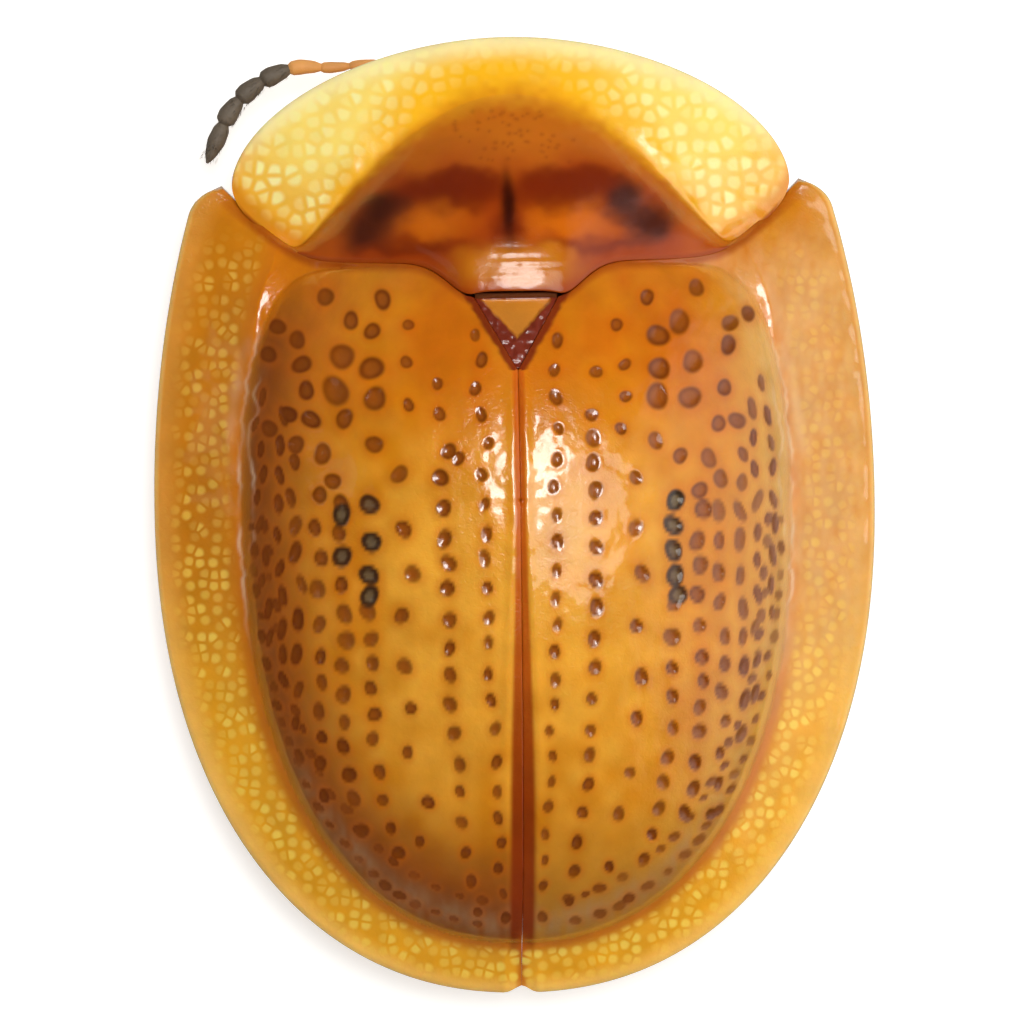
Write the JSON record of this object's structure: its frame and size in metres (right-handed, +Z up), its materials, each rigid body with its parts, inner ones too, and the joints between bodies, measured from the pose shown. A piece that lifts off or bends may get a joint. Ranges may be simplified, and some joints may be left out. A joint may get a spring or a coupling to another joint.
{
  "type": "tortoise beetle",
  "caption": "Adult tortoise beetle standing with legs drawn in under a domed shell with wide see-through borders.",
  "frame": {"origin": "on the floor under the middle of the shell, halfway along and across it", "axes": "+Z up, -Y towards the head, +X towards the beetle's left side"},
  "size_m": [0.0052, 0.007, 0.0027],
  "materials": {
    "amber_shell": "glossy, clear amber shell with rows of dark pits",
    "yellow_border": "glossy, see-through golden yellow with pale cells",
    "brown_belly": "satin dark brown plates",
    "amber_leg": "satin clear amber",
    "dark_eye": "glossy black with small facets",
    "feeler": "matte orange, dark grey brown towards the tip"
  },
  "bodies": {
    "root": {"neck_shield": "yellow_border", "scutellum": "amber_shell", "wing_case_left": "amber_shell", "wing_case_right": "amber_shell", "fore_body": "brown_belly", "hind_body": "brown_belly", "abdomen": "brown_belly", "head": "amber_leg", "eye_left": "dark_eye", "eye_right": "dark_eye", "jaws": "brown_belly", "feeler_left": "feeler", "feeler_right": "feeler", "leg_front_left": "amber_leg", "leg_front_right": "amber_leg", "leg_middle_left": "amber_leg", "leg_middle_right": "amber_leg", "leg_hind_left": "amber_leg", "leg_hind_right": "amber_leg"}
  },
  "joints": []
}
